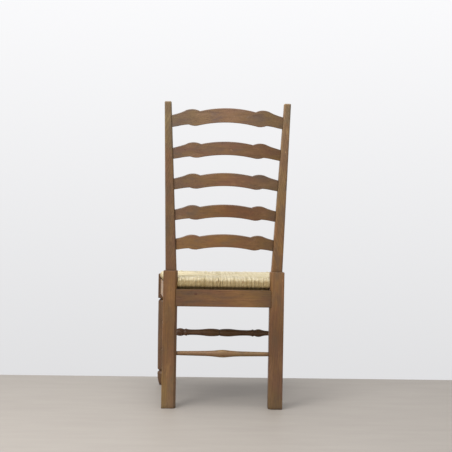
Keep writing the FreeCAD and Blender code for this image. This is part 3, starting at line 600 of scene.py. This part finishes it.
def build_packing():
    """The packing between the two layers of cords, inside the rails: a thin puffed sheet with two sides."""
    steps = PACKING_STEPS
    shares = np.linspace(-1, 1, steps)
    level = (SEAT_BOX[0].z + SEAT_BOX[1].z) / 2
    depth = REAR_EDGE - FRONT_EDGE - PACKING_INSET - PACKING_REAR_INSET
    points, faces = [], []
    for side in (1, -1):
        for v in shares:
            y = FRONT_EDGE + PACKING_INSET + depth * (v + 1) / 2
            for u in shares:
                puff = PACKING_PUFF * (1 - abs(u) ** 8) * (1 - abs(v) ** 8) + PACKING_RIM
                points.append((u * packing_half_width(y), y, level + side * puff))
    other_side = steps * steps
    for start in (0, other_side):
        for j in range(steps - 1):
            for i in range(steps - 1):
                corner = start + j * steps + i
                faces.append((corner, corner + 1, corner + 1 + steps, corner + steps))
    last = steps - 1
    rim = [*range(last)] + [j * steps + last for j in range(last)]
    rim += [last * steps + i for i in range(last, 0, -1)] + [j * steps for j in range(last, 0, -1)]
    for here, after in zip(rim, rim[1:] + rim[:1]):
        faces.append((here, after, after + other_side, here + other_side))
    piece = new_piece("rush_stuffing", points, faces)
    piece.data.materials.append(packing_material())
    return piece


def build_rush():
    """Four fields of cords that meet at the mitres, and the packing, in place of the CAD form of the seat."""
    rear, front = REAR_CORNER.x - LEG_GAP, FRONT_CORNER.x - LEG_GAP
    side_span = (FRONT_CORNER.y + LEG_GAP, REAR_CORNER.y - LEG_GAP)
    x_axis, y_axis = np.array((1.0, 0, 0)), np.array((0, 1.0, 0))
    underside = SEAT_BOX[0].z + UNDERSIDE_LIFT

    def rear_length(x):
        return REAR_EDGE - mitre_y(x, REAR_CORNER)

    def front_length(x):
        return mitre_y(x, FRONT_CORNER) - FRONT_EDGE

    def side_length(y):
        return side_edge(y) - mitre_x(y)

    fields = [
        woven_field("rush_rear", (-rear, rear), lambda x: np.array((x, REAR_EDGE, 0)), -y_axis, x_axis,
                    rear_length, SEAT_BOX[0].z - REAR_SAG),
        woven_field("rush_front", (-front, front), lambda x: np.array((x, FRONT_EDGE, 0)), y_axis, x_axis,
                    front_length, underside),
        woven_field("rush_left", side_span, lambda y: np.array((side_edge(y), y, 0)), -x_axis, y_axis,
                    side_length, underside),
        woven_field("rush_right", side_span, lambda y: np.array((-side_edge(y), y, 0)), x_axis, y_axis,
                    side_length, underside),
    ]
    material = rush_material()
    for field in fields:
        field.data.materials.append(material)
    for piece in [*fields, build_packing()]:
        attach(piece, "root")
        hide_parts("rush_seat")


# ---------------------------------------------------------------- stage, lights and camera

FLOOR_SIZE = (12, 3.8)
FLOOR_CENTRE = (0, 1.45, 0)
ROOM_COLOUR = (1.0, 1.0, 1.015)

# The room's brightness by how far a direction points up, from -1 to 1: the product of the spans
# (from, to, brightness at from, brightness at to). It is greatest a little above the horizon.
ROOM_SPANS = [(-0.55, 0.90, 0.56, 1.28), (0.32, 0.70, 1, 0.35), (-0.36, -0.24, 0.58, 1)]

# The viewpoint is measured from the middle of the rear legs' back faces, on the floor.
APRON_SETBACK = 0.0035
VIEW_DISTANCE, VIEW_ASIDE, VIEW_HEIGHT = 2.961, -0.0038, 0.638
VIEW_TURN, VIEW_ROLL = 0.0319, 0.0175
VIEW_SHIFT = (0.0048, 0.0030)


def build_floor():
    """A pale floor that ends a little beyond the chair."""
    bpy.ops.mesh.primitive_plane_add(size=1, location=FLOOR_CENTRE)
    floor = bpy.context.object
    floor.name = "floor"
    floor.scale = (*FLOOR_SIZE, 1)
    s = Shader(bpy.data.materials.new("pale_floor"))
    place = s.node("ShaderNodeNewGeometry").outputs["Position"]
    mottled = s.noise(s.scaled(place, (1.2, 6, 1)), scale=3, detail=4, roughness=0.6)
    colour = s.mix(mottled, (0.300, 0.270, 0.240), (0.362, 0.330, 0.295))
    floor.data.materials.append(s.finish(Base_Color=colour, Roughness=0.55, Specular_IOR_Level=0.3))


def build_room():
    """Soft white light from all round."""
    s = Shader(bpy.data.worlds.new("white_room"))
    upward = s.part(s.node("ShaderNodeTexCoord").outputs["Generated"], Z)
    strength = 1.0
    for span in ROOM_SPANS:
        strength = s.times(strength, s.spread(upward, *span, curve="LINEAR"))
    background = s.node("ShaderNodeBackground", {"Color": ROOM_COLOUR, "Strength": strength})
    s.node("ShaderNodeOutputWorld", {"Surface": background.outputs[0]})
    bpy.context.scene.world = s.owner


def area_light(name, place, target, size, power):
    data = bpy.data.lights.new(name, "AREA")
    data.size = size
    data.energy = power
    lamp = bpy.data.objects.new(name, data)
    bpy.context.scene.collection.objects.link(lamp)
    lamp.location = place
    lamp.rotation_euler = (Vector(target) - Vector(place)).to_track_quat("-Z", "Y").to_euler()


def build_lights():
    area_light("window", (1.9, 2.4, 1.8), (0, 0, 0.5), 1.4, 60)
    area_light("ceiling", (0.4, 0.6, 2.7), (0, 0, 0.3), 2.4, 72)


def build_camera():
    """The view from behind at table height, turned and rolled by a degree or two."""
    data = bpy.data.cameras.new("camera")
    data.lens = 67.2
    data.sensor_width = 36
    data.shift_x, data.shift_y = VIEW_SHIFT
    camera = bpy.data.objects.new("camera", data)
    bpy.context.scene.collection.objects.link(camera)
    right = Vector((-math.cos(VIEW_TURN), math.sin(VIEW_TURN), 0))
    ahead = Vector((-math.sin(VIEW_TURN), -math.cos(VIEW_TURN), 0))
    legs_back = APRON_BOX[1].y + APRON_SETBACK
    camera.location = Vector((0, legs_back, VIEW_HEIGHT)) + right * VIEW_ASIDE - ahead * VIEW_DISTANCE
    level = Matrix((right, Vector((0, 0, 1)), -ahead)).transposed()
    camera.rotation_euler = (level @ Matrix.Rotation(VIEW_ROLL, 3, "Z")).to_euler()
    bpy.context.scene.camera = camera


dress_wood()
soften_slats()
build_rush()
build_floor()
build_room()
build_lights()
build_camera()
bpy.context.scene.view_settings.view_transform = "Standard"
